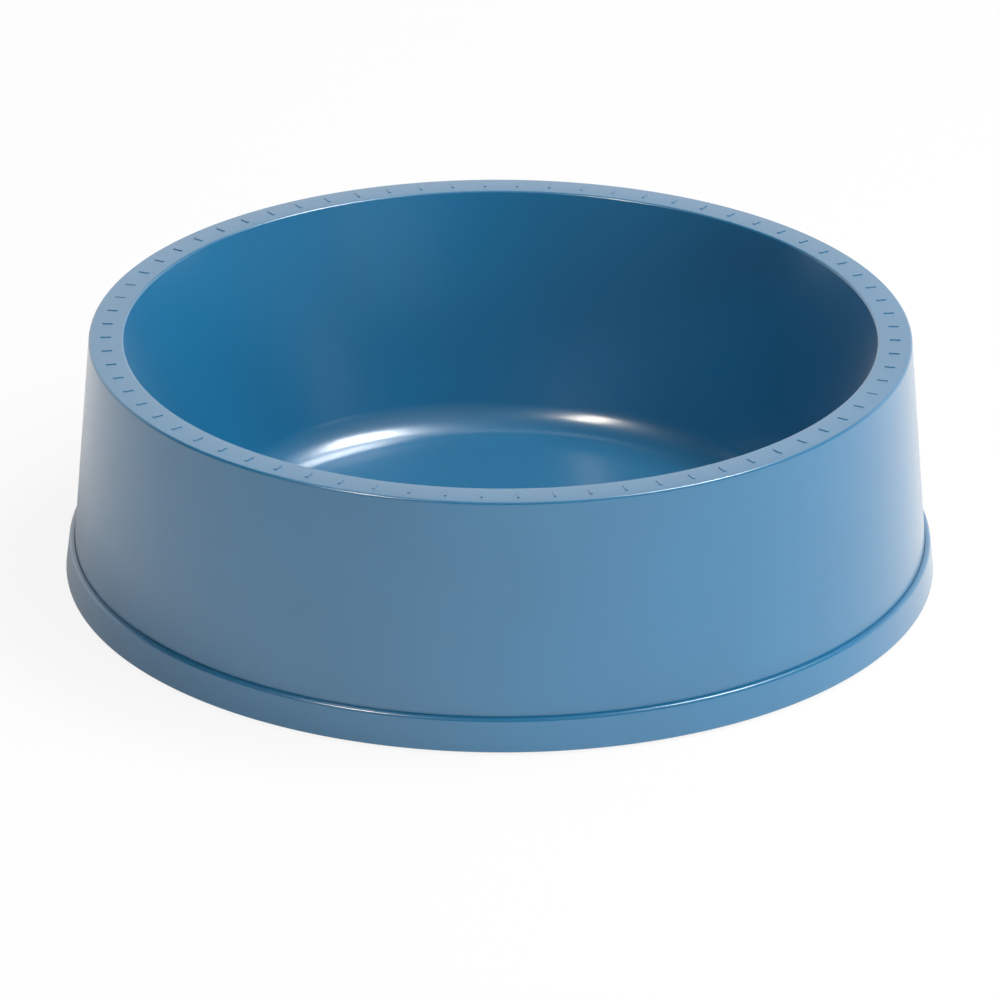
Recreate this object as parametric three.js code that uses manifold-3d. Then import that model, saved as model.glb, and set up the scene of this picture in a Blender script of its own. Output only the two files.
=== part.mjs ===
// A round pet bowl: a moulded shell with a flat rim and a widening outer wall, a base ring that the
// wall's edge stands in, and non-slip pads under the ring. Millimetres, +Z up, the ground at z = 0.

import * as THREE from 'three';
import * as BufferGeometryUtils from 'three/addons/utils/BufferGeometryUtils.js';
import Module from 'manifold-3d';

// Base ring
const ringRadius = 105.2;
const ringHeight = 8.1;
const ringFlange = 2.8;
const ringBandWidth = 13;
const ringUpstandWall = 1.8;
const ringUpstandHeight = 7.6;
const ringEdgeRadius = 1.1;
const ringFootChamfer = 0.5;
const ledgeWidth = 2.05;
const ledgeInnerChamfer = 0.2;
const ringWebThickness = 1.4;
const ringWebDrop = 1.2;

// Outer wall of the shell
const seamGap = 0.25;
const bodyHeight = 51.7;
const skirtInset = 4.5;
const skirtWall = 2.4;
const skirtToeChamfer = 0.5;

// Rim
const rimWidth = 8.2;
const rimThickness = 3;
const rimOuterRadius = 1;
const rimInnerRadius = 0.6;
const rimUndersideFillet = 1;

// Inside of the bowl
const bowlWall = 2.4;
const bowlFloorHeight = 3.4;
const bowlCornerRadius = 10;
const bowlDraftDegrees = 18;

// Stiffening ribs in the hollow between the two walls
const ribThickness = 1.6;
const ribArchRadius = 60;
const ribSkirtHeight = 24;
const ribCornerShare = 0.75;

// Underside of the bowl's floor
const standRingRadius = 32;
const standRingWidth = 2.2;
const standRingHeight = 0.5;
const gateDimpleRadius = 5;
const gateDimpleDepth = 0.5;

// Snap hooks on the ring and the catches on the wall that they hold
const hookWidth = 12;
const hookWall = 1.6;
const hookRise = 1.7;
const hookReach = 1.1;
const hookLead = 1.2;
const catchReach = 1.35;
const catchHeight = 2.6;
const catchTopAboveLedge = 0.7;
const snapGap = 0.3;

// Non-slip pads
const padLength = 24;
const padWidth = 7.6;
const padProud = 0.6;
const padPocketDepth = 1.4;
const padGap = 0.2;
const padChamfer = 0.35;
const padInsetShare = 0.52;

// Counts
const roundSteps = 72;
const cornerSteps = 9;
const edgeSteps = 3;
const ribCount = 12;
const ringWebCount = 24;
const snapCount = 6;
const padCount = 6;
const padEndSteps = 8;

// One overrun for every cut and every joint that is sunk into its wall
const overrun = 1;

// Heights and radii that follow from the sizes above
const ringBottom = padProud;
const ringSeat = ringBottom + ringFlange;
const ledgeHeight = ringBottom + ringHeight;
const rimTop = ledgeHeight + bodyHeight;
const rimUnderside = rimTop - rimThickness;
const skirtFootRadius = ringRadius - ledgeWidth - seamGap;
const rimRadius = skirtFootRadius - skirtInset;
const bowlMouthRadius = rimRadius - rimWidth;
const skirtSlope = skirtInset / bodyHeight;
const bowlDraft = THREE.MathUtils.degToRad(bowlDraftDegrees);

const wasm = await Module();
wasm.setup();

// Points of an arc about a centre, both ends included, angles in radians from +X.
function arc(centreX, centreY, radius, from, to, steps) {
  const points = [];
  for (let step = 0; step <= steps; step++) {
    const angle = THREE.MathUtils.lerp(from, to, step / steps);
    points.push(new THREE.Vector2(centreX + radius * Math.cos(angle), centreY + radius * Math.sin(angle)));
  }
  return points;
}

// A point of a profile: its distance from the bowl's axis and its height.
function at(radius, height) {
  return new THREE.Vector2(radius, height);
}

// A profile turned round the bowl's axis.
function turned(profile) {
  const geometry = new THREE.LatheGeometry(profile, roundSteps);
  geometry.rotateX(Math.PI / 2);
  return geometry;
}

// A profile of radius and height made into a plate of the given thickness, standing on the plane y = 0.
function radialPlate(profile, thickness) {
  const geometry = new THREE.ExtrudeGeometry(new THREE.Shape(profile), { depth: thickness, bevelEnabled: false });
  geometry.translate(0, 0, -thickness / 2);
  geometry.rotateX(Math.PI / 2);
  return geometry;
}

function solidOf(geometry) {
  const bare = geometry.index ? geometry.toNonIndexed() : geometry.clone();
  bare.deleteAttribute('normal');
  bare.deleteAttribute('uv');
  const merged = BufferGeometryUtils.mergeVertices(bare);
  return new wasm.Manifold(new wasm.Mesh({
    numProp: 3,
    vertProperties: new Float32Array(merged.attributes.position.array),
    triVerts: new Uint32Array(merged.index.array),
  }));
}

function geometryOf(solid) {
  const mesh = solid.getMesh();
  const geometry = new THREE.BufferGeometry();
  geometry.setAttribute('position', new THREE.BufferAttribute(new Float32Array(mesh.vertProperties), 3));
  geometry.setIndex(new THREE.BufferAttribute(new Uint32Array(mesh.triVerts), 1));
  geometry.computeVertexNormals();
  return geometry;
}

// Copies of one solid, spaced evenly round the axis, the first at the given share of a step.
function roundTheAxis(geometry, count, shareOfStep) {
  const copies = [];
  for (let index = 0; index < count; index++) {
    const copy = geometry.clone();
    copy.rotateZ((index + shareOfStep) / count * 2 * Math.PI);
    copies.push(solidOf(copy));
  }
  return copies;
}

// The outer wall's surface, moved inwards by a depth, at a height above the ledge.
function skirtRadiusAt(height, depth) {
  return skirtFootRadius - (height - ledgeHeight) * skirtSlope - depth * Math.hypot(1, skirtSlope);
}

// The inside of the bowl, moved into its wall by a depth: the wall's line and the corner's centre.
const cornerCentreHeight = bowlFloorHeight + bowlCornerRadius;

function bowlRadiusAt(height, depth) {
  return bowlMouthRadius - (rimTop - height) * Math.tan(bowlDraft) + depth / Math.cos(bowlDraft);
}

const cornerCentreRadius = bowlRadiusAt(cornerCentreHeight, -bowlCornerRadius);

function bowlCorner(depth, steps) {
  return arc(
    cornerCentreRadius, cornerCentreHeight, bowlCornerRadius + depth, -Math.PI / 2, -bowlDraft, steps,
  );
}

// A ring that stiffens the floor's underside, and the shallow dimple round the moulding gate.
function floorUnderside() {
  const underside = bowlFloorHeight - bowlWall;
  return [
    at(0, underside + gateDimpleDepth),
    at(gateDimpleRadius, underside + gateDimpleDepth),
    at(gateDimpleRadius + gateDimpleDepth, underside),
    at(standRingRadius - standRingWidth, underside),
    at(standRingRadius - standRingWidth, underside - standRingHeight),
    at(standRingRadius, underside - standRingHeight),
    at(standRingRadius, underside),
  ];
}

function shellProfile() {
  const slotInner = bowlRadiusAt(rimUnderside, bowlWall);
  const slotOuter = skirtRadiusAt(rimUnderside, skirtWall);
  const fillet = Math.min(rimUndersideFillet, (slotOuter - slotInner) / 2);
  const toeInner = skirtFootRadius - skirtWall * Math.hypot(1, skirtSlope);
  return [
    ...floorUnderside(),
    ...bowlCorner(bowlWall, cornerSteps),
    at(bowlRadiusAt(rimUnderside - fillet, bowlWall), rimUnderside - fillet),
    at(slotInner + fillet, rimUnderside),
    at(slotOuter - fillet, rimUnderside),
    at(skirtRadiusAt(rimUnderside - fillet, skirtWall), rimUnderside - fillet),
    at(toeInner, ledgeHeight),
    at(toeInner, ringSeat + skirtToeChamfer),
    at(toeInner + skirtToeChamfer, ringSeat),
    at(skirtFootRadius - skirtToeChamfer, ringSeat),
    at(skirtFootRadius, ringSeat + skirtToeChamfer),
    at(skirtFootRadius, ledgeHeight),
    at(skirtRadiusAt(rimTop - rimOuterRadius, 0), rimTop - rimOuterRadius),
    ...arc(rimRadius - rimOuterRadius, rimTop - rimOuterRadius, rimOuterRadius, 0, Math.PI / 2, edgeSteps),
    ...arc(
      bowlMouthRadius + rimInnerRadius, rimTop - rimInnerRadius, rimInnerRadius,
      Math.PI / 2, Math.PI, edgeSteps,
    ),
    ...bowlCorner(0, cornerSteps).reverse(),
    at(0, bowlFloorHeight),
  ];
}

// One rib: it fills the hollow from wall to wall under the rim and ends in an arch at the bottom.
function ribProfile() {
  const sunk = bowlWall / 2;
  const skirtSunk = skirtWall / 2;
  const corner = bowlCorner(sunk, cornerSteps);
  const archFrom = Math.round(cornerSteps * ribCornerShare);
  const archStart = corner[archFrom];
  const skirtEnd = at(skirtRadiusAt(ribSkirtHeight, skirtSunk), ribSkirtHeight);
  const shape = [
    ...corner.slice(archFrom),
    at(bowlRadiusAt(rimUnderside, sunk), rimUnderside + rimThickness / 2),
    at(skirtRadiusAt(rimUnderside, skirtSunk), rimUnderside + rimThickness / 2),
    skirtEnd,
  ];
  const chord = skirtEnd.distanceTo(archStart);
  const radius = Math.max(ribArchRadius, chord);
  const middle = skirtEnd.clone().add(archStart).divideScalar(2);
  const across = archStart.clone().sub(skirtEnd).divideScalar(chord);
  const sag = Math.sqrt(radius * radius - chord * chord / 4);
  const centre = at(middle.x - across.y * sag, middle.y + across.x * sag);
  const from = Math.atan2(skirtEnd.y - centre.y, skirtEnd.x - centre.x);
  const to = Math.atan2(archStart.y - centre.y, archStart.x - centre.x);
  return [...shape, ...arc(centre.x, centre.y, radius, from, to, edgeSteps * 2).slice(1, -1)];
}

// The snap hooks stand just inside the wall's edge, and their heads reach over the wall's catches.
const wallInside = skirtFootRadius - skirtWall * Math.hypot(1, skirtSlope);
const catchFace = wallInside - catchReach;
const catchTop = ledgeHeight + catchTopAboveLedge;
const hookFace = catchFace - snapGap;

function catchProfile() {
  return [
    at(wallInside + skirtWall / 2, catchTop - catchHeight - catchReach),
    at(wallInside + skirtWall / 2, catchTop),
    at(catchFace, catchTop),
    at(catchFace, catchTop - catchHeight + catchReach),
    at(wallInside, catchTop - catchHeight),
  ];
}

function hookProfile() {
  const headBottom = catchTop + snapGap;
  const headTop = headBottom + hookRise;
  return [
    at(hookFace - hookWall, ringSeat - ringFlange / 2),
    at(hookFace, ringSeat - ringFlange / 2),
    at(hookFace, headBottom),
    at(hookFace + hookReach, headBottom),
    at(hookFace + hookReach, headTop - hookLead),
    at(hookFace + hookReach - hookLead, headTop),
    at(hookFace - hookWall, headTop),
  ];
}

function makeBowlShell() {
  let shell = solidOf(turned(shellProfile()));
  for (const rib of roundTheAxis(radialPlate(ribProfile(), ribThickness), ribCount, 1 / 2)) {
    shell = shell.add(rib);
  }
  for (const piece of roundTheAxis(radialPlate(catchProfile(), hookWidth), snapCount, 1 / 2)) {
    shell = shell.add(piece);
  }
  return geometryOf(shell);
}

function ringProfile() {
  const inner = ringRadius - ringBandWidth;
  const lipInside = ringRadius - ledgeWidth;
  const upstandTop = ringBottom + ringUpstandHeight;
  return [
    at(inner + ringFootChamfer, ringBottom),
    at(ringRadius - ringFootChamfer, ringBottom),
    at(ringRadius, ringBottom + ringFootChamfer),
    ...arc(ringRadius - ringEdgeRadius, ledgeHeight - ringEdgeRadius, ringEdgeRadius, 0, Math.PI / 2, edgeSteps),
    at(lipInside + ledgeInnerChamfer, ledgeHeight),
    at(lipInside, ledgeHeight - ledgeInnerChamfer),
    at(lipInside, ringSeat),
    at(inner + ringUpstandWall, ringSeat),
    at(inner + ringUpstandWall, upstandTop),
    at(inner, upstandTop),
    at(inner, ringBottom + ringFootChamfer),
    at(inner + ringFootChamfer, ringBottom),
  ];
}

// A web in the ring's channel, between the upstand and the wall's edge.
function ringWebProfile() {
  const inner = ringRadius - ringBandWidth + ringUpstandWall / 2;
  const outer = wallInside - snapGap;
  const top = ringBottom + ringUpstandHeight - ringWebDrop;
  return [
    at(inner, ringSeat - ringFlange / 2),
    at(outer, ringSeat - ringFlange / 2),
    at(outer, (ringSeat + top) / 2),
    at(outer - (top - ringSeat) / 2, top),
    at(inner, top),
  ];
}

// An outline with round ends, its long side square to the radius, centred on the band.
const padCentreRadius = ringRadius - ringBandWidth * padInsetShare;

function padOutline(grow) {
  const endRadius = padWidth / 2 + grow;
  const endCentre = (padLength - padWidth) / 2;
  const points = [
    ...arc(0, endCentre, endRadius, 0, Math.PI, padEndSteps),
    ...arc(0, -endCentre, endRadius, Math.PI, 2 * Math.PI, padEndSteps),
  ];
  return new THREE.Shape(points);
}

function makePad() {
  const bevel = {
    bevelEnabled: true, bevelSegments: 1, bevelSize: padChamfer, bevelThickness: padChamfer,
    bevelOffset: -padChamfer,
  };
  const thickness = padPocketDepth + padProud;
  const pad = new THREE.ExtrudeGeometry(padOutline(0), { depth: thickness - 2 * padChamfer, ...bevel });
  pad.translate(padCentreRadius, 0, padChamfer);
  return pad;
}

function makePadPocket() {
  const pocket = new THREE.ExtrudeGeometry(padOutline(padGap), {
    depth: padPocketDepth + overrun, bevelEnabled: false,
  });
  pocket.translate(padCentreRadius, 0, ringBottom - overrun);
  return pocket;
}

function makeBaseRing() {
  let ring = solidOf(turned(ringProfile()));
  for (const web of roundTheAxis(radialPlate(ringWebProfile(), ringWebThickness), ringWebCount, 1 / 2)) {
    ring = ring.add(web);
  }
  for (const hook of roundTheAxis(radialPlate(hookProfile(), hookWidth), snapCount, 1 / 2)) {
    ring = ring.add(hook);
  }
  for (const pocket of roundTheAxis(makePadPocket(), padCount, 0)) {
    ring = ring.subtract(pocket);
  }
  return geometryOf(ring);
}

const bluePlastic = { color: 0x1b6f9e, roughness: 0.3, metalness: 0 };
const greyRubber = { color: 0x2c2f33, roughness: 0.85, metalness: 0 };

const group = new THREE.Group();
group.name = 'pet_bowl';

function addPiece(name, geometry, look) {
  const mesh = new THREE.Mesh(geometry, new THREE.MeshStandardMaterial(look));
  mesh.name = name;
  group.add(mesh);
  return mesh;
}

addPiece('bowl_shell', makeBowlShell(), bluePlastic);
addPiece('base_ring', makeBaseRing(), bluePlastic);
for (let index = 0; index < padCount; index++) {
  const pad = addPiece(`foot_pad_${index + 1}`, makePad(), greyRubber);
  pad.rotation.z = index / padCount * 2 * Math.PI;
}

export default group;
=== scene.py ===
import math

import bmesh
import bpy
from mathutils import Matrix, Quaternion, Vector


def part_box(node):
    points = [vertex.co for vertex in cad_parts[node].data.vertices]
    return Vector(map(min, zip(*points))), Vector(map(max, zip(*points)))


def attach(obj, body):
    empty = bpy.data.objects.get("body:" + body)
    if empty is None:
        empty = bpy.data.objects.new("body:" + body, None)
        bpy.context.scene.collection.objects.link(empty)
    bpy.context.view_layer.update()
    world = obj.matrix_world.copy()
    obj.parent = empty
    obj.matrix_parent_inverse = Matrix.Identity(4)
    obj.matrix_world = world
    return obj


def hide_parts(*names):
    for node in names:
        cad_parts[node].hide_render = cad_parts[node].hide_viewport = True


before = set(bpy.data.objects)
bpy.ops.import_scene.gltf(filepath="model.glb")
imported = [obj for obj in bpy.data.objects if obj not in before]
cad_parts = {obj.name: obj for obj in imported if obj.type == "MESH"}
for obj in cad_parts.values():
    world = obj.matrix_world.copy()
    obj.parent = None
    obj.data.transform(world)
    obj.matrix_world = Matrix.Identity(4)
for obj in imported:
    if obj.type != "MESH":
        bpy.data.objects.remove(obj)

bl_info = {
    "name": "Pet bowl",
    "version": (1, 0, 0),
    "blender": (4, 5, 0),
    "location": "View3D > Sidebar > Bowl",
    "description": "Builds a moulded pet bowl with its base ring, pads, finishes and studio",
    "category": "Object",
}

SHELL_NODE = "bowl_shell"
RING_NODE = "base_ring"
PAD_NODES = sorted(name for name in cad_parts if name.startswith("foot_pad_"))
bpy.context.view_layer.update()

SHELL_LOW, SHELL_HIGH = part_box(SHELL_NODE)
RING_LOW, RING_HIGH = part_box(RING_NODE)
PAD_LOW, PAD_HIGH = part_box(PAD_NODES[0])

FULL_TURN = 2 * math.pi
QUARTER_TURN = math.pi / 2

# The snap hooks' heads are the ring's highest places, so the ledge is found from them
HOOK_TOP_ABOVE_LEDGE = 0.0027
LEDGE_HEIGHT = RING_HIGH.z - HOOK_TOP_ABOVE_LEDGE

# Points nearer to each other than this, in metres, are welded
WELD_DISTANCE = 1e-6
# Edges sharper than this stay crisp
CREASE_DEGREES = 32
# How strongly large faces keep their shading flat
FLAT_WEIGHT = 100
# Share of the rim's half width that the rounding of its crown takes
CROWN_SHARE = 0.6
# Share of the arch's shorter side that the arch's rounding takes
ARCH_SHARE = 0.98
# Width of the camera's sensor in millimetres, and its nearest and farthest sight in metres
SENSOR_WIDTH = 36
CLIP_NEAR, CLIP_FAR = 0.05, 50

# A ramp reads values from 0 to 1. Its stops are (place, brightness)
RAMP_MIDDLE = 0.5
DRIFT_STOPS = ((0.3, 0), (0.7, 1))
DUST_STOPS = ((0.45, 0), (0.8, 1))
# The scuff height stands at the ramp's middle, and the scuffs end just above it
SCUFF_STOPS = ((0.51, 1), (0.55, 0))


# Sizes and colours

def length(name, default, description):
    return bpy.props.FloatProperty(
        name=name, default=default, description=description,
        min=0, precision=5, subtype="DISTANCE", unit="LENGTH",
    )


def angle(name, default_degrees, description):
    return bpy.props.FloatProperty(
        name=name, default=math.radians(default_degrees), description=description,
        subtype="ANGLE", unit="ROTATION",
    )


def number(name, default, description):
    return bpy.props.IntProperty(name=name, default=default, description=description, min=1)


def share(name, default, description):
    return bpy.props.FloatProperty(
        name=name, default=default, description=description, min=0, max=1, subtype="FACTOR",
    )


def amount(name, default, description):
    return bpy.props.FloatProperty(name=name, default=default, description=description, min=0)


def colour(name, default, description):
    return bpy.props.FloatVectorProperty(
        name=name, default=default, description=description, size=3, min=0, max=1, subtype="COLOR",
    )


class PETBOWL_PG_shell(bpy.types.PropertyGroup):
    """Sizes of the bowl's shell: its inside, rim and outer wall"""

    foot_radius: length("Foot radius", SHELL_HIGH.x, "Radius of the outer wall at its foot")
    rim_top: length("Rim top", SHELL_HIGH.z, "Height of the rim's flat face")
    foot_height: length("Foot height", SHELL_LOW.z, "Height of the outer wall's lower edge")
    lean_from: length("Lean from", LEDGE_HEIGHT, "Height from which the outer wall leans inwards")
    lean: length("Lean", 0.0045, "How far the outer wall comes in between its foot and the rim")
    skirt_wall: length("Outer wall", 0.0024, "Thickness of the outer wall")
    rim_width: length("Rim width", 0.0082, "Width of the rim's flat face with its edges")
    rim_thickness: length("Rim thickness", 0.003, "Thickness of the rim")
    rim_fall: angle("Rim fall", 1.5, "How far the rim's face falls away towards its edges")
    rim_outer_round: length("Rim outer edge", 0.0006, "Rounding of the rim's outer edge")
    rim_inner_round: length("Rim inner edge", 0.0006, "Rounding of the rim's inner edge")
    rim_fillet: length("Rim fillet", 0.001, "Rounding where the walls meet the rim's underside")
    toe_round: length("Toe rounding", 0.0005, "Rounding of the outer wall's lower edge")
    wall: length("Inner wall", 0.0024, "Thickness of the bowl's inner wall and floor")
    floor_height: length("Floor height", 0.0034, "Height of the bowl's floor, inside")
    corner_round: length("Corner rounding", 0.01, "Rounding between the inner wall and the floor")
    draft: angle("Draft", 18, "How far the inner wall leans outwards")
    stand_radius: length("Underside ring", 0.032, "Radius of the low ring on the floor's underside")
    stand_width: length("Underside ring width", 0.0022, "Width of that ring")
    stand_height: length("Underside ring height", 0.0005, "Height of that ring")
    gate_radius: length("Gate dimple", 0.005, "Radius of the dimple where the mould was filled")
    gate_depth: length("Gate depth", 0.0005, "Depth of that dimple")
    steps: number("Steps", 256, "Steps of the turning")


class PETBOWL_PG_ribs(bpy.types.PropertyGroup):
    """Sizes of the ribs and catches in the hollow between the walls"""

    count: number("Ribs", 12, "Number of ribs")
    thickness: length("Rib thickness", 0.0016, "Thickness of a rib")
    foot_radius: length("Rib foot", 0.0737, "Where a rib ends on the bowl's corner")
    foot_height: length("Rib foot height", 0.00714, "Height of that end")
    skirt_height: length("Rib end height", 0.024, "Height at which a rib ends on the outer wall")
    arch_rise: length("Arch rise", 0.0043, "How far the arch's corner stands above its chord")
    catch_count: number("Catches", 6, "Number of catches that the snap hooks hold")
    catch_width: length("Catch width", 0.012, "Width of a catch")
    catch_reach: length("Catch reach", 0.00135, "How far a catch stands out of the wall")
    catch_height: length("Catch height", 0.0026, "Height of a catch")
    catch_top: length("Catch top", 0.0007, "Height of a catch's top above the ledge")


class PETBOWL_PG_ring(bpy.types.PropertyGroup):
    """Sizes of the base ring that the outer wall stands in"""

    radius: length("Ring radius", RING_HIGH.x, "Outer radius of the ring")
    bottom: length("Underside", RING_LOW.z, "Height of the ring's underside")
    ledge_height: length("Ledge height", LEDGE_HEIGHT, "Height of the ledge beside the outer wall")
    lean: length("Lean", 0.001, "How far the ring's outer face comes in up to the ledge")
    band_width: length("Band width", 0.013, "Width of the ring's underside")
    flange: length("Flange", 0.0028, "Thickness under the groove")
    ledge_width: length("Ledge width", 0.00222, "Width of the ledge")
    edge_round: length("Ledge edge", 0.0008, "Rounding of the ledge's outer edge")
    foot_round: length("Foot edge", 0.0005, "Rounding of the edges underneath")
    groove_round: length("Groove edge", 0.0001, "Rounding of the groove's edge")
    upstand_wall: length("Upstand", 0.0018, "Thickness of the upstand inside the groove")
    upstand_height: length("Upstand height", 0.0076, "Height of that upstand")
    web_count: number("Webs", 24, "Number of webs in the groove")
    web_thickness: length("Web thickness", 0.0014, "Thickness of a web")
    web_drop: length("Web drop", 0.0012, "How far a web's top lies below the upstand's")
    hook_count: number("Snap hooks", 6, "Number of snap hooks")
    hook_width: length("Hook width", 0.012, "Width of a snap hook")
    hook_wall: length("Hook wall", 0.0016, "Thickness of a snap hook")
    hook_rise: length("Hook rise", 0.0017, "Height of a snap hook's head")
    hook_reach: length("Hook reach", 0.0011, "How far the head reaches over the catch")
    hook_lead: length("Hook lead", 0.0012, "Slope that guides the head past the catch")
    snap_gap: length("Snap gap", 0.0003, "Room between a hook and its catch")
    steps: number("Steps", 256, "Steps of the turning")


class PETBOWL_PG_pads(bpy.types.PropertyGroup):
    """Sizes of the non-slip pads and their pockets"""

    length: length("Pad length", PAD_HIGH.y - PAD_LOW.y, "Length of a pad along the ring")
    width: length("Pad width", PAD_HIGH.x - PAD_LOW.x, "Width of a pad across the ring")
    radius: length(
        "Pad radius", (PAD_HIGH.x + PAD_LOW.x) / 2, "Distance of a pad's middle from the axis",
    )
    top: length("Pad top", PAD_HIGH.z, "Height of a pad's face in its pocket")
    edge_round: length("Pad edge", 0.0004, "Rounding of a pad's edges")
    groove_width: length("Groove width", 0.0009, "Width of the grooves across a pad")
    groove_depth: length("Groove depth", 0.0003, "Depth of those grooves")
    groove_count: number("Grooves", 5, "Grooves across a pad")
    gap: length("Pocket gap", 0.0002, "Room between a pad and its pocket")
    end_steps: number("End steps", 32, "Steps of a pad's two round ends together")


class PETBOWL_PG_marks(bpy.types.PropertyGroup):
    """Sizes of the plain raised ticks on the rim"""

    count: number("Ticks", 72, "Number of ticks, evenly spaced")
    length: length("Tick length", 0.0026, "Length of a tick across the rim")
    width: length("Tick width", 0.0007, "Width of a tick")
    height: length("Tick height", 0.00015, "How far a tick stands above the rim")
    slope: share("Slope", 0.75, "Size of a tick's top as a share of its foot")


class PETBOWL_PG_finish(bpy.types.PropertyGroup):
    """Colours and gloss of the plastic and the rubber"""

    blue: colour("Blue", (0.006, 0.155, 0.32), "Body colour of the moulded plastic")
    blue_drift: share("Blue drift", 0.05, "How much the blue drifts from place to place")
    drift_size: length("Drift size", 0.05, "Size of the clouds in which the blue drifts")
    gloss: share("Roughness", 0.36, "Roughness of the moulded plastic")
    gloss_drift: share("Roughness drift", 0.02, "How much the roughness drifts from place to place")
    polish_size: length("Polish size", 0.018, "Size of the clouds in which the roughness drifts")
    plastic_ior: amount("Index", 1.5, "Index of refraction of the moulded plastic")
    skin: share("Skin", 1, "Strength of the smooth skin that the mould's face leaves")
    skin_gloss: share("Skin roughness", 0.2, "Roughness of that skin")
    skin_ior: amount("Skin index", 1.7, "Index of refraction of that skin")
    scuff_dulling: share("Scuff dulling", 0.75, "Share of the skin that scuffs take off the floor")
    scuff_roughness: share("Scuff roughness", 0.14, "Roughness that these scuffs add")
    haze: share("Haze", 0.1, "Strength of the pale haze that the fine grain shows at a flat angle")
    haze_spread: share("Haze spread", 0.35, "Roughness of that haze")
    peel_size: length("Skin waves", 0.0018, "Size of the waves in the moulded skin")
    peel_depth: length("Skin depth", 0.0000008, "Depth of those waves")
    rubber: colour("Rubber", (0.022, 0.024, 0.027), "Colour of the pads")
    dust: colour("Dust", (0.12, 0.12, 0.115), "Colour of the dust in the rubber's pores")
    rubber_gloss: share("Rubber roughness", 0.82, "Roughness of the pads")
    rubber_drift: share("Rubber drift", 0.06, "How much that roughness drifts with the pores")
    dust_share: share("Dust share", 0.35, "Share of dust where it lies thickest")
    dust_size: length("Dust size", 0.004, "Size of the clouds of dust")
    pore_size: length("Pore size", 0.0009, "Size of the rubber's pores")
    pore_depth: length("Pore depth", 0.00006, "Depth of those pores")


class PETBOWL_PG_studio(bpy.types.PropertyGroup):
    """Camera, floor and lamps"""

    lens: bpy.props.FloatProperty(
        name="Lens", default=234, description="Focal length of the camera", unit="CAMERA",
    )
    distance: length("Camera distance", 1.57332, "Distance of the camera from its aim")
    height_angle: angle("Camera height", 24.6, "How far the camera looks down")
    roll: angle("Camera roll", 0.2, "Turn of the camera about its own axis")
    aim_height: length("Aim height", 0.01607, "Height of the point that the camera looks at")
    floor_size: length("Floor size", 6, "Half the length of the floor's side")
    floor: colour("Floor", (0.88, 0.88, 0.88), "Colour of the floor")
    floor_mottle: share("Floor mottle", 0.01, "How much the floor's tone drifts")
    mottle_size: length("Mottle size", 0.4, "Size of the clouds in which it drifts")
    floor_white: share("Floor white", 0.88, "Share of plain white that the camera sees in it")
    painted_glow_from: length("Bright from", 0.15, "How far right of the axis mirrors see it white")
    plain_from: length("Plain from", 0.15, "How far left of the axis they see it as it is lit")
    room: amount("Room light", 0.2, "Even light of the room")
    room_gloss: share("Room in gloss", 0.2, "Share of that light that reflections see")
    sweep: amount("Backdrop light", 1.0, "Brightness of the backdrop in reflections")
    sweep_top: angle("Backdrop top", 32, "Elevation at which the backdrop ends in reflections")
    sweep_blur: share("Backdrop blur", 0.08, "Softness of that end, as a height on a unit ball")
    sweep_from: share("Backdrop from", 0.1, "Where the backdrop starts, as a depth on that ball")
    sweep_full: share("Backdrop full", 0.5, "Where it is at its full brightness")


# Shader nodes

class Signal:
    """A number from a socket. Arithmetic on it adds the Math nodes that work it out."""

    def __init__(self, board, socket):
        self.board = board
        self.socket = socket

    def __add__(self, other):
        return self.board.math("ADD", self, other)

    def __sub__(self, other):
        return self.board.math("SUBTRACT", self, other)

    def __rsub__(self, other):
        return self.board.math("SUBTRACT", other, self)

    def __mul__(self, other):
        return self.board.math("MULTIPLY", self, other)

    def largest(self, other):
        return self.board.math("MAXIMUM", self, other)

    __radd__ = __add__
    __rmul__ = __mul__


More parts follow.
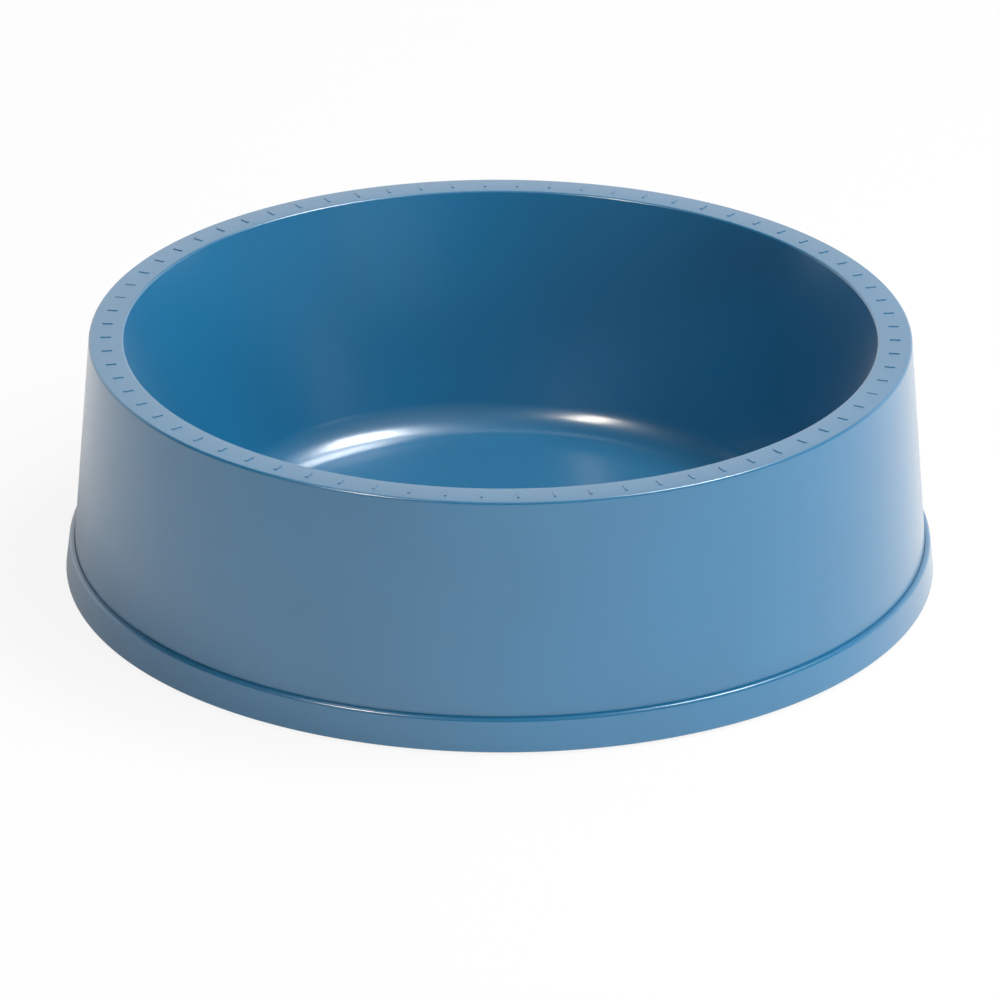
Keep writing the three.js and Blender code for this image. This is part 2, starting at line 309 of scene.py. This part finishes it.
class Board:
    """The node tree of one material or world."""

    def __init__(self, owner):
        owner.use_nodes = True
        self.tree = owner.node_tree
        self.tree.nodes.clear()

    def node(self, kind, settings, sockets):
        """One node: its settings come first, then the values or links of its sockets."""
        node = self.tree.nodes.new(kind)
        for name, value in settings.items():
            if name == "stops":
                for stop, (place, shade) in zip(self.stops(node, len(value)), value):
                    stop.position = place
                    stop.color = (shade, shade, shade, 1)
            else:
                setattr(node, name, value)
        for name, value in sockets.items():
            self.feed(node.inputs[name], value)
        return node

    def stops(self, node, count):
        """A ramp's stops, as many as asked for."""
        elements = node.color_ramp.elements
        while len(elements) < count:
            elements.new(1)
        return elements

    def feed(self, socket, value):
        """A link or a fixed value for a socket."""
        if isinstance(value, Signal):
            self.tree.links.new(value.socket, socket)
        elif isinstance(value, bpy.types.NodeSocket):
            self.tree.links.new(value, socket)
        elif socket.type == "RGBA" and len(value) == 3:
            socket.default_value = (*value, 1)
        else:
            socket.default_value = value

    def math(self, operation, first, second):
        node = self.node("ShaderNodeMath", {"operation": operation}, {0: first, 1: second})
        return Signal(self, node.outputs["Value"])

    def ramp(self, value, stops, smooth=True):
        settings = {"stops": stops}
        node = self.node("ShaderNodeValToRGB", settings, {"Fac": value})
        node.color_ramp.interpolation = "EASE" if smooth else "LINEAR"
        return Signal(self, node.outputs["Color"])

    def noise(self, place, size, detail):
        """Soft noise whose clouds are about size across."""
        sockets = {"Vector": place, "Scale": 1 / size, "Detail": detail, "Roughness": 0.5}
        node = self.node("ShaderNodeTexNoise", {}, sockets)
        return Signal(self, node.outputs["Fac"])

    def blend(self, factor, first, second):
        """A colour between two others."""
        # a Mix node's colours are its sockets 6 and 7, and its mixed colour is output 2
        sockets = {"Factor": factor, 6: first, 7: second}
        return self.node("ShaderNodeMix", {"data_type": "RGBA"}, sockets).outputs[2]

    def bump(self, height, depth):
        """The surface's direction with fine relief on it."""
        sockets = {"Height": height, "Distance": depth, "Strength": 1}
        return self.node("ShaderNodeBump", {}, sockets).outputs["Normal"]

    def place(self):
        """A point's place on the piece, in metres."""
        return self.node("ShaderNodeTexCoord", {}, {}).outputs["Object"]

    def along(self, axis, place):
        """One coordinate of a place or a direction."""
        node = self.node("ShaderNodeSeparateXYZ", {}, {"Vector": place})
        return Signal(self, node.outputs[axis])

    def surface(self, shader):
        self.node("ShaderNodeOutputMaterial", {}, {"Surface": shader})


def shade(tone, factor):
    """A colour made lighter or darker by a factor."""
    return tuple(channel * factor for channel in tone)


def moulded_plastic(name, scuff_height=0):
    """Satin blue plastic whose tone drifts, scuffed duller up to the scuff height."""
    if name in bpy.data.materials:
        return bpy.data.materials[name]
    finish = bpy.context.scene.petbowl_finish
    material = bpy.data.materials.new(name)
    board = Board(material)
    place = board.place()
    drift = board.ramp(board.noise(place, finish.drift_size, detail=3), DRIFT_STOPS)
    dull = shade(finish.blue, 1 - finish.blue_drift)
    bright = shade(finish.blue, 1 + finish.blue_drift)
    polish = board.noise(place, finish.polish_size, detail=4)
    roughness = finish.gloss + (polish - 0.5) * (2 * finish.gloss_drift)
    skin = finish.skin
    if scuff_height:
        height = board.along("Z", place)
        scuffs = board.ramp(height * (RAMP_MIDDLE / scuff_height), SCUFF_STOPS)
        roughness = roughness + scuffs * finish.scuff_roughness
        skin = finish.skin - scuffs * (finish.skin * finish.scuff_dulling)
    waves = board.noise(place, finish.peel_size, detail=2)
    shader = board.node("ShaderNodeBsdfPrincipled", {}, {
        "Base Color": board.blend(drift, dull, bright),
        "Roughness": roughness,
        "IOR": finish.plastic_ior,
        "Coat Weight": skin,
        "Coat Roughness": finish.skin_gloss,
        "Coat IOR": finish.skin_ior,
        "Sheen Weight": finish.haze,
        "Sheen Roughness": finish.haze_spread,
        "Normal": board.bump(waves, finish.peel_depth),
    })
    board.surface(shader.outputs["BSDF"])
    return material


def shell_plastic():
    """The shell's plastic, scuffed on the bowl's floor."""
    return moulded_plastic("shell_blue_plastic", bpy.context.scene.petbowl_shell.floor_height)


def pad_rubber(name):
    """Matt rubber with open pores that hold a little dust."""
    if name in bpy.data.materials:
        return bpy.data.materials[name]
    finish = bpy.context.scene.petbowl_finish
    material = bpy.data.materials.new(name)
    board = Board(material)
    place = board.place()
    pores = board.noise(place, finish.pore_size, detail=3)
    dust = board.ramp(board.noise(place, finish.dust_size, detail=4), DUST_STOPS)
    shader = board.node("ShaderNodeBsdfPrincipled", {}, {
        "Base Color": board.blend(dust * finish.dust_share, finish.rubber, finish.dust),
        "Roughness": finish.rubber_gloss + (pores - 0.5) * (2 * finish.rubber_drift),
        "Normal": board.bump(pores, finish.pore_depth),
    })
    board.surface(shader.outputs["BSDF"])
    return material


def studio_floor(name):
    """Pale floor with the bowl's shadow, nearly white to the camera. Reflections see it as lit on
    its left side and with a painted white glow that grows towards its right side.
    """
    studio = bpy.context.scene.petbowl_studio
    material = bpy.data.materials.new(name)
    board = Board(material)
    rays = board.node("ShaderNodeLightPath", {}, {})
    camera = Signal(board, rays.outputs["Is Camera Ray"])
    mirrored = Signal(board, rays.outputs["Is Glossy Ray"])
    mirrored = mirrored.largest(Signal(board, rays.outputs["Is Transmission Ray"]))
    place = board.place()
    across = board.along("X", place)
    # the bowl's axis stands at the ramp's middle
    # Reflections see the floor as it is lit left of the axis. To its right they see a painted white
    # glow that stands in for the floor lit brighter by the lamps on the right.
    stops = ((RAMP_MIDDLE - studio.plain_from, 0), (RAMP_MIDDLE + studio.painted_glow_from, 1))
    bright = board.ramp(across + RAMP_MIDDLE, stops, smooth=False)
    mottle = board.noise(place, studio.mottle_size, detail=2)
    tone = board.blend(mottle, shade(studio.floor, 1 - studio.floor_mottle), studio.floor)
    pale = board.node("ShaderNodeBsdfDiffuse", {}, {"Color": tone})
    white = board.node("ShaderNodeEmission", {}, {"Color": (1, 1, 1), "Strength": 1.0})
    # Mix of the lit floor and plain white: the camera sees mostly white, and reflections see the
    # painted glow where the ramp is bright.
    mixed = board.node("ShaderNodeMixShader", {}, {
        0: camera * studio.floor_white + mirrored * bright,
        1: pale.outputs["BSDF"],
        2: white.outputs["Emission"],
    })
    board.surface(mixed.outputs["Shader"])
    return material


# Mesh tools

def outline(corners, closed, steps_per_round=6):
    """A line in the plane y = 0 through corners of (radius, height, rounding)."""
    mesh = bmesh.new()
    verts = [mesh.verts.new((radius, 0, height)) for radius, height, _ in corners]
    ends = verts[1:] + verts[:1] if closed else verts[1:]
    for pair in zip(verts, ends):
        mesh.edges.new(pair)
    places = [Vector((radius, height)) for radius, height, _ in corners]
    for index, (_, _, rounding) in enumerate(corners):
        if not rounding:
            continue
        before, corner, after = (places[(index + shift) % len(places)] for shift in (-1, 0, 1))
        turn = (corner - before).angle(after - corner)
        bmesh.ops.bevel(
            mesh, geom=[verts[index]], offset=rounding * math.tan(turn / 2), offset_type="ABSOLUTE",
            affect="VERTICES", segments=max(2, round(steps_per_round * turn / QUARTER_TURN)),
            profile=0.5, material=-1, clamp_overlap=True,
        )
    return mesh


def turn_outline(mesh, steps):
    """The outline turned round the bowl's axis, closed where it meets itself and the axis."""
    bmesh.ops.spin(
        mesh, geom=mesh.verts[:] + mesh.edges[:], cent=(0, 0, 0), axis=(0, 0, 1),
        angle=FULL_TURN, steps=steps, use_merge=True, use_duplicate=False,
    )
    bmesh.ops.remove_doubles(mesh, verts=mesh.verts, dist=WELD_DISTANCE)
    bmesh.ops.recalc_face_normals(mesh, faces=mesh.faces)
    return mesh


def plate(mesh, thickness):
    """The closed outline filled and thickened to both sides of the plane y = 0."""
    face = bmesh.ops.contextual_create(mesh, geom=mesh.edges[:])["faces"]
    pushed = bmesh.ops.extrude_face_region(mesh, geom=face)["geom"]
    verts = [item for item in pushed if isinstance(item, bmesh.types.BMVert)]
    bmesh.ops.translate(mesh, verts=verts, vec=(0, thickness, 0))
    bmesh.ops.translate(mesh, verts=mesh.verts, vec=(0, -thickness / 2, 0))
    bmesh.ops.recalc_face_normals(mesh, faces=mesh.faces)
    return mesh


def repeat_round(mesh, count, share_of_step):
    """The mesh and its copies spaced evenly round the axis, the first at a share of a step."""
    turn = Matrix.Rotation(share_of_step / count * FULL_TURN, 3, "Z")
    bmesh.ops.rotate(mesh, verts=mesh.verts, cent=(0, 0, 0), matrix=turn)
    bmesh.ops.spin(
        mesh, geom=mesh.verts[:] + mesh.edges[:] + mesh.faces[:], cent=(0, 0, 0), axis=(0, 0, 1),
        angle=FULL_TURN * (count - 1) / count, steps=count - 1, use_merge=False, use_duplicate=True,
    )


def rounded_bar(length_, width, low, high, steps):
    """An upright bar with round ends, its long side along Y."""
    mesh = bmesh.new()
    bmesh.ops.create_circle(mesh, cap_ends=True, cap_tris=False, radius=width / 2, segments=steps)
    for way in (-1, 1):
        half = [vert for vert in mesh.verts if vert.co.y * way > WELD_DISTANCE]
        bmesh.ops.translate(mesh, verts=half, vec=(0, way * (length_ - width) / 2, 0))
    pushed = bmesh.ops.extrude_face_region(mesh, geom=mesh.faces[:])["geom"]
    verts = [item for item in pushed if isinstance(item, bmesh.types.BMVert)]
    bmesh.ops.translate(mesh, verts=verts, vec=(0, 0, high - low))
    bmesh.ops.translate(mesh, verts=mesh.verts, vec=(0, 0, low))
    bmesh.ops.recalc_face_normals(mesh, faces=mesh.faces)
    return mesh


def mesh_object(name, mesh):
    """A new object in the scene that holds the mesh."""
    data = bpy.data.meshes.new(name)
    mesh.to_mesh(data)
    mesh.free()
    thing = bpy.data.objects.new(name, data)
    bpy.context.scene.collection.objects.link(thing)
    return thing


def cut(thing, cutter):
    """The cutter's shape taken out of the thing."""
    modifier = thing.modifiers.new("Cut", "BOOLEAN")
    modifier.operation = "DIFFERENCE"
    modifier.solver = "MANIFOLD"
    modifier.object = cutter
    bpy.context.view_layer.update()
    graph = bpy.context.evaluated_depsgraph_get()
    result = bpy.data.meshes.new_from_object(thing.evaluated_get(graph))
    if len(result.polygons) <= len(thing.data.polygons):
        raise RuntimeError(f"{cutter.name} takes nothing out of {thing.name}")
    thing.modifiers.clear()
    thing.data = result
    bpy.data.objects.remove(cutter)
    return thing


def smooth_by_angle(thing):
    """Smooth faces, with every edge sharper than the crease angle kept crisp."""
    data = thing.data
    data.shade_smooth()
    data.set_sharp_from_angle(angle=math.radians(CREASE_DEGREES))
    weights = thing.modifiers.new("Even flats", "WEIGHTED_NORMAL")
    weights.keep_sharp = True
    weights.weight = FLAT_WEIGHT
    return thing


def fit_piece(thing, material, slot, *nodes):
    """The piece gets its finish, rides on the bowl and stands for its CAD solids."""
    thing.data.materials.clear()
    thing.data.materials.append(material)
    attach(thing, "root")
    if nodes:
        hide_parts(*nodes)
    return thing


# Shapes that several pieces share

def skirt_radius(height, depth):
    """Radius of the outer wall's surface, moved inwards by a depth."""
    shell = bpy.context.scene.petbowl_shell
    slope = shell.lean / (shell.rim_top - shell.lean_from)
    rise = max(height - shell.lean_from, 0)
    return shell.foot_radius - rise * slope - depth * math.hypot(1, slope)


def mouth_radius():
    """Radius of the rim's inner edge."""
    shell = bpy.context.scene.petbowl_shell
    return shell.foot_radius - shell.lean - shell.rim_width


def bowl_radius(height, depth):
    """Radius of the bowl's inner wall, moved into the wall by a depth."""
    shell = bpy.context.scene.petbowl_shell
    narrowing = (shell.rim_top - height) * math.tan(shell.draft)
    return mouth_radius() - narrowing + depth / math.cos(shell.draft)


def catch_radius():
    """Radius of the catches' faces, which the snap hooks pass."""
    ribs = bpy.context.scene.petbowl_ribs
    shell = bpy.context.scene.petbowl_shell
    return skirt_radius(shell.lean_from, shell.skirt_wall) - ribs.catch_reach


# Pieces

class PETBOWL_OT_shell(bpy.types.Operator):
    """Turn the shell: the inside of the bowl, the rim and the outer wall in one skin"""

    bl_idname = "petbowl.shell"
    bl_label = "Bowl shell"

    def execute(self, context):
        shell = context.scene.petbowl_shell
        under = shell.floor_height - shell.wall
        rim_under = shell.rim_top - shell.rim_thickness
        toe_inner = skirt_radius(shell.lean_from, shell.skirt_wall)
        stand_inner = shell.stand_radius - shell.stand_width
        edge = shell.stand_height / 3
        fall = math.tan(shell.rim_fall)
        rim_half = shell.rim_width / 2
        crown_reach = CROWN_SHARE * rim_half
        rim_peak = shell.rim_top + crown_reach * fall / 2
        rim_edge = rim_peak - rim_half * fall
        corners = [
            (0, under + shell.gate_depth, 0),
            (shell.gate_radius, under + shell.gate_depth, edge),
            (shell.gate_radius + shell.gate_depth, under, edge),
            (stand_inner, under, edge),
            (stand_inner, under - shell.stand_height, edge),
            (shell.stand_radius, under - shell.stand_height, edge),
            (shell.stand_radius, under, edge),
            (bowl_radius(under, shell.wall), under, shell.corner_round + shell.wall),
            (bowl_radius(rim_under, shell.wall), rim_under, shell.rim_fillet),
            (skirt_radius(rim_under, shell.skirt_wall), rim_under, shell.rim_fillet),
            (toe_inner, shell.lean_from, 0),
            (toe_inner, shell.foot_height, shell.toe_round),
            (shell.foot_radius, shell.foot_height, shell.toe_round),
            (shell.foot_radius, shell.lean_from, 0),
            (shell.foot_radius - shell.lean, rim_edge, shell.rim_outer_round),
            (mouth_radius() + rim_half, rim_peak, crown_reach / fall),
            (mouth_radius(), rim_edge, shell.rim_inner_round),
            (bowl_radius(shell.floor_height, 0), shell.floor_height, shell.corner_round),
            (0, shell.floor_height, 0),
        ]
        skin = turn_outline(outline(corners, closed=False, steps_per_round=16), shell.steps)
        thing = smooth_by_angle(mesh_object("bowl_shell_skin", skin))
        fit_piece(thing, shell_plastic(), "shell_plastic", SHELL_NODE)
        return {"FINISHED"}


class PETBOWL_OT_ribs(bpy.types.Operator):
    """Stand the ribs and the catches in the hollow between the walls"""

    bl_idname = "petbowl.ribs"
    bl_label = "Ribs and catches"

    def execute(self, context):
        shell = context.scene.petbowl_shell
        ribs = context.scene.petbowl_ribs
        material = shell_plastic()
        top = shell.rim_top - shell.rim_thickness / 2
        skirt_middle = skirt_radius(ribs.skirt_height, shell.skirt_wall / 2)
        skirt_end = Vector((skirt_middle, ribs.skirt_height))
        foot = Vector((ribs.foot_radius, ribs.foot_height))
        chord = foot - skirt_end
        crown = (foot + skirt_end) / 2 + Vector((chord.y, -chord.x)).normalized() * ribs.arch_rise
        reach = min((crown - foot).length, (crown - skirt_end).length) * ARCH_SHARE
        turn = (crown - skirt_end).angle(foot - crown)
        corners = [
            (foot.x, foot.y, 0),
            (bowl_radius(shell.floor_height + shell.corner_round, shell.wall / 2),
             shell.floor_height + shell.corner_round, 0),
            (bowl_radius(top, shell.wall / 2), top, 0),
            (skirt_radius(top, shell.skirt_wall / 2), top, 0),
            (skirt_end.x, skirt_end.y, 0),
            (crown.x, crown.y, reach / math.tan(turn / 2)),
        ]
        rib = plate(outline(corners, closed=True, steps_per_round=40), ribs.thickness)
        repeat_round(rib, ribs.count, share_of_step=0.5)
        thing = smooth_by_angle(mesh_object("shell_ribs", rib))
        fit_piece(thing, material, "shell_plastic", SHELL_NODE)

        wall = skirt_radius(shell.lean_from, shell.skirt_wall)
        catch_top = shell.lean_from + ribs.catch_top
        catch_low = catch_top - ribs.catch_height
        face = catch_radius()
        corners = [
            (wall + shell.skirt_wall / 2, catch_low - ribs.catch_reach, 0),
            (wall, catch_low, 0),
            (face, catch_low + ribs.catch_reach, 0),
            (face, catch_top, ribs.catch_top / 4),
            (wall + shell.skirt_wall / 2, catch_top, 0),
        ]
        catch = plate(outline(corners, closed=True), ribs.catch_width)
        repeat_round(catch, ribs.catch_count, share_of_step=0.5)
        thing = smooth_by_angle(mesh_object("shell_catches", catch))
        fit_piece(thing, material, "shell_plastic", SHELL_NODE)
        return {"FINISHED"}


class PETBOWL_OT_ring(bpy.types.Operator):
    """Turn the base ring, sink the pads' pockets into it and stand its webs and snap hooks"""

    bl_idname = "petbowl.ring"
    bl_label = "Base ring"

    def execute(self, context):
        ring = context.scene.petbowl_ring
        pads = context.scene.petbowl_pads
        shell = context.scene.petbowl_shell
        ribs = context.scene.petbowl_ribs
        material = moulded_plastic("ring_blue_plastic")
        inner = ring.radius - ring.band_width
        lip = ring.radius - ring.ledge_width
        seat = ring.bottom + ring.flange
        upstand = inner + ring.upstand_wall
        upstand_top = ring.bottom + ring.upstand_height
        corners = [
            (inner, ring.bottom, ring.foot_round),
            (ring.radius, ring.bottom, ring.foot_round),
            (ring.radius - ring.lean, ring.ledge_height, ring.edge_round),
            (lip, ring.ledge_height, ring.groove_round),
            (lip, seat, 0),
            (upstand, seat, 0),
            (upstand, upstand_top, ring.foot_round),
            (inner, upstand_top, ring.foot_round),
        ]
        band = turn_outline(outline(corners, closed=True, steps_per_round=8), ring.steps)
        thing = mesh_object("base_ring_band", band)
        pocket = rounded_bar(
            pads.length + 2 * pads.gap, pads.width + 2 * pads.gap, ring.bottom - pads.top, pads.top,
            pads.end_steps,
        )
        bmesh.ops.translate(pocket, verts=pocket.verts, vec=(pads.radius, 0, 0))
        repeat_round(pocket, len(PAD_NODES), share_of_step=0)
        cutter = mesh_object("pad_pockets", pocket)
        thing = smooth_by_angle(cut(thing, cutter))
        fit_piece(thing, material, "ring_plastic", RING_NODE)

        outer = skirt_radius(shell.lean_from, shell.skirt_wall) - ring.snap_gap
        web_top = upstand_top - ring.web_drop
        root = inner + ring.upstand_wall / 2
        sunk = seat - ring.flange / 2
        corners = [
            (root, sunk, 0),
            (outer, sunk, 0),
            (outer, (seat + web_top) / 2, 0),
            (outer - (web_top - seat) / 2, web_top, ring.web_drop / 4),
            (root, web_top, 0),
        ]
        web = plate(outline(corners, closed=True), ring.web_thickness)
        repeat_round(web, ring.web_count, share_of_step=0.5)
        thing = smooth_by_angle(mesh_object("ring_webs", web))
        fit_piece(thing, material, "ring_plastic", RING_NODE)

        face = catch_radius() - ring.snap_gap
        head_low = shell.lean_from + ribs.catch_top + ring.snap_gap
        head_top = head_low + ring.hook_rise
        corners = [
            (face - ring.hook_wall, sunk, 0),
            (face, sunk, 0),
            (face, head_low, 0),
            (face + ring.hook_reach, head_low, 0),
            (face + ring.hook_reach, head_top - ring.hook_lead, ring.snap_gap / 2),
            (face + ring.hook_reach - ring.hook_lead, head_top, ring.snap_gap / 2),
            (face - ring.hook_wall, head_top, ring.snap_gap / 2),
        ]
        hook = plate(outline(corners, closed=True), ring.hook_width)
        repeat_round(hook, ring.hook_count, share_of_step=0.5)
        thing = smooth_by_angle(mesh_object("ring_snap_hooks", hook))
        fit_piece(thing, material, "ring_plastic", RING_NODE)
        return {"FINISHED"}


class PETBOWL_OT_pads(bpy.types.Operator):
    """Mould the non-slip pads, each with grooves across its face"""

    bl_idname = "petbowl.pads"
    bl_label = "Non-slip pads"

    def execute(self, context):
        pads = context.scene.petbowl_pads
        material = pad_rubber("pad_grey_rubber")
        for index, node in enumerate(PAD_NODES):
            pad = rounded_bar(pads.length, pads.width, PAD_LOW.z, pads.top, pads.end_steps)
            edges = [
                edge for edge in pad.edges
                if all(vert.co.z < PAD_LOW.z + pads.gap for vert in edge.verts)
            ]
            bmesh.ops.bevel(
                pad, geom=edges, offset=pads.edge_round, offset_type="OFFSET", affect="EDGES",
                segments=4, profile=0.5, material=-1, clamp_overlap=True,
            )
            thing = mesh_object("pad_" + node.rsplit("_", 1)[1], pad)
            grooves = bmesh.new()
            for row in range(pads.groove_count):
                away = (row - (pads.groove_count - 1) / 2) * pads.length / (pads.groove_count + 2)
                bar = bmesh.ops.create_cube(grooves, size=1)["verts"]
                bmesh.ops.scale(
                    grooves, verts=bar,
                    vec=(pads.width * 2, pads.groove_width, pads.groove_depth * 2),
                )
                bmesh.ops.translate(grooves, verts=bar, vec=(0, away, PAD_LOW.z))
            thing = cut(thing, mesh_object("pad_grooves", grooves))
            thing.data.transform(
                Matrix.Rotation(index / len(PAD_NODES) * FULL_TURN, 4, "Z")
                @ Matrix.Translation((pads.radius, 0, 0))
            )
            smooth_by_angle(thing)
            fit_piece(thing, material, "pad_rubber", node)
        return {"FINISHED"}


class PETBOWL_OT_marks(bpy.types.Operator):
    """Raise a ring of plain ticks on the rim"""

    bl_idname = "petbowl.marks"
    bl_label = "Rim ticks"

    def execute(self, context):
        shell = context.scene.petbowl_shell
        marks = context.scene.petbowl_marks
        tick = bmesh.new()
        verts = bmesh.ops.create_cube(tick, size=1)["verts"]
        bmesh.ops.scale(tick, verts=verts, vec=(marks.length, marks.width, marks.height * 2))
        upper = [vert for vert in verts if vert.co.z > 0]
        inset = marks.width * (1 - marks.slope)
        bmesh.ops.scale(
            tick, verts=upper, vec=((marks.length - inset) / marks.length, marks.slope, 1),
        )
        middle = mouth_radius() + shell.rim_width / 2
        bmesh.ops.translate(tick, verts=verts, vec=(middle, 0, shell.rim_top))
        repeat_round(tick, marks.count, share_of_step=0.5)
        thing = smooth_by_angle(mesh_object("rim_ticks", tick))
        fit_piece(thing, shell_plastic(), "shell_plastic")
        return {"FINISHED"}


# Studio

def toward(azimuth, elevation):
    """Direction at an azimuth from the front towards +X, and an elevation."""
    return Vector((
        math.sin(azimuth) * math.cos(elevation),
        -math.cos(azimuth) * math.cos(elevation),
        math.sin(elevation),
    ))


LAMPS = (
    # name, what it lights, azimuth and elevation in degrees, distance, width and height in metres,
    # brightness of its face, tint
    ("lamp_key", "body", 115, 65, 1.5, 0.50, 0.40, 12.5, (1, 1, 1)),
    ("lamp_key_glint", "gloss", 119, 64, 1.5, 0.54, 0.34, 21, (1, 1, 1)),
    ("lamp_warm_glint", "gloss", -48, 54, 1.5, 0.20, 0.46, 27, (1, 0.88, 0.74)),
    ("lamp_right", "body", 84, 52, 1.5, 0.70, 0.60, 2.4, (1, 1, 1)),
    ("lamp_side", "body", 75, 40, 1.5, 1.20, 0.90, 1.4, (1, 1, 1)),
    ("lamp_front", "body", 42, 50, 1.5, 1.20, 0.90, 1.6, (1, 1, 1)),
    ("lamp_low", "body", 38, 8, 1.5, 0.90, 0.30, 6, (1, 1, 1)),
    ("lamp_low_right", "body", 88, 16, 1.5, 0.60, 0.40, 3, (1, 1, 1)),
    ("lamp_low_left", "body", -75, 3, 1.5, 0.90, 0.10, 5.5, (1, 1, 1)),
    ("lamp_back", "both", 180, 60, 1.5, 0.60, 0.50, 1.2, (1, 1, 1)),
    ("lamp_over", "body", 40, 75, 1.5, 1.00, 1.00, 1.0, (1, 1, 1)),
)


def add_lamp(name, lights, azimuth, elevation, distance, width, height, brightness, tint):
    """A flat lamp that faces the bowl and lights its body colour, its gloss or both."""
    data = bpy.data.lights.new(name, "AREA")
    data.shape = "RECTANGLE"
    data.size = width
    data.size_y = height
    data.energy = brightness * math.pi * width * height
    data.color = tint
    lamp = bpy.data.objects.new(name, data)
    bpy.context.scene.collection.objects.link(lamp)
    away = toward(math.radians(azimuth), math.radians(elevation))
    lamp.location = away * distance
    lamp.rotation_euler = away.to_track_quat("Z", "Y").to_euler()
    lamp.visible_camera = False
    lamp.visible_diffuse = lights != "gloss"
    lamp.visible_glossy = lights != "body"
    return lamp


def light_room():
    """Dim room all round. Behind the bowl, the camera and the gloss see a white backdrop."""
    studio = bpy.context.scene.petbowl_studio
    world = bpy.data.worlds.new("studio_room")
    bpy.context.scene.world = world
    board = Board(world)
    rays = board.node("ShaderNodeLightPath", {}, {})
    glossy = Signal(board, rays.outputs["Is Glossy Ray"])
    glossy = glossy.largest(Signal(board, rays.outputs["Is Transmission Ray"]))
    direction = board.node("ShaderNodeTexCoord", {}, {}).outputs["Generated"]
    stops = ((studio.sweep_from, 0), (studio.sweep_full, 1))
    behind = board.ramp(board.along("Y", direction), stops)
    top = math.sin(studio.sweep_top)
    stops = ((top - studio.sweep_blur, 1), (top + studio.sweep_blur, 0))
    low = board.ramp(board.along("Z", direction), stops)
    camera = Signal(board, rays.outputs["Is Camera Ray"])
    backdrop = camera.largest(glossy * behind * low * studio.sweep)
    dimmed = studio.room * (1 - studio.room_gloss)
    strength = backdrop.largest(studio.room - glossy * dimmed)
    room = board.node("ShaderNodeBackground", {}, {"Color": (1, 1, 1), "Strength": strength})
    board.node("ShaderNodeOutputWorld", {}, {"Surface": room.outputs["Background"]})


class PETBOWL_OT_studio(bpy.types.Operator):
    """Set up the floor, the lamps, the room and the camera"""

    bl_idname = "petbowl.studio"
    bl_label = "Studio"

    def execute(self, context):
        scene = context.scene
        studio = scene.petbowl_studio
        ground = bmesh.new()
        bmesh.ops.create_grid(ground, x_segments=1, y_segments=1, size=studio.floor_size)
        floor = mesh_object("studio_floor", ground)
        floor.data.materials.append(studio_floor("studio_floor"))
        for lamp in LAMPS:
            add_lamp(*lamp)
        light_room()

        data = bpy.data.cameras.new("camera")
        data.lens = studio.lens
        data.sensor_width = SENSOR_WIDTH
        data.clip_start = CLIP_NEAR
        data.clip_end = CLIP_FAR
        camera = bpy.data.objects.new("camera", data)
        scene.collection.objects.link(camera)
        aim = Vector((0, 0, studio.aim_height))
        away = toward(0, studio.height_angle)
        camera.location = aim + away * studio.distance
        turned = away.to_track_quat("Z", "Y") @ Quaternion((0, 0, 1), studio.roll)
        camera.rotation_euler = turned.to_euler()
        scene.camera = camera
        scene.view_settings.view_transform = "Standard"
        return {"FINISHED"}


class PETBOWL_PT_panel(bpy.types.Panel):
    """The bowl's pieces and studio, in the order in which they are made"""

    bl_idname = "PETBOWL_PT_panel"
    bl_label = "Pet bowl"
    bl_space_type = "VIEW_3D"
    bl_region_type = "UI"
    bl_category = "Bowl"

    def draw(self, context):
        for operator in OPERATORS:
            self.layout.operator(operator.bl_idname)
        for name in SETTINGS:
            box = self.layout.box()
            settings = getattr(context.scene, name)
            box.label(text=settings.bl_rna.description)
            for prop in SETTINGS[name].__annotations__:
                box.prop(settings, prop)


SETTINGS = {
    "petbowl_shell": PETBOWL_PG_shell,
    "petbowl_ribs": PETBOWL_PG_ribs,
    "petbowl_ring": PETBOWL_PG_ring,
    "petbowl_pads": PETBOWL_PG_pads,
    "petbowl_marks": PETBOWL_PG_marks,
    "petbowl_finish": PETBOWL_PG_finish,
    "petbowl_studio": PETBOWL_PG_studio,
}
OPERATORS = (
    PETBOWL_OT_shell,
    PETBOWL_OT_ribs,
    PETBOWL_OT_ring,
    PETBOWL_OT_pads,
    PETBOWL_OT_marks,
    PETBOWL_OT_studio,
)


def register():
    for cls in (*SETTINGS.values(), *OPERATORS, PETBOWL_PT_panel):
        bpy.utils.register_class(cls)
    for name, cls in SETTINGS.items():
        setattr(bpy.types.Scene, name, bpy.props.PointerProperty(type=cls))


def unregister():
    for name in SETTINGS:
        delattr(bpy.types.Scene, name)
    for cls in (PETBOWL_PT_panel, *reversed(OPERATORS), *reversed(SETTINGS.values())):
        bpy.utils.unregister_class(cls)


def main():
    register()
    for operator in OPERATORS:
        group, name = operator.bl_idname.split(".")
        getattr(getattr(bpy.ops, group), name)()


if __name__ == "__main__":
    main()
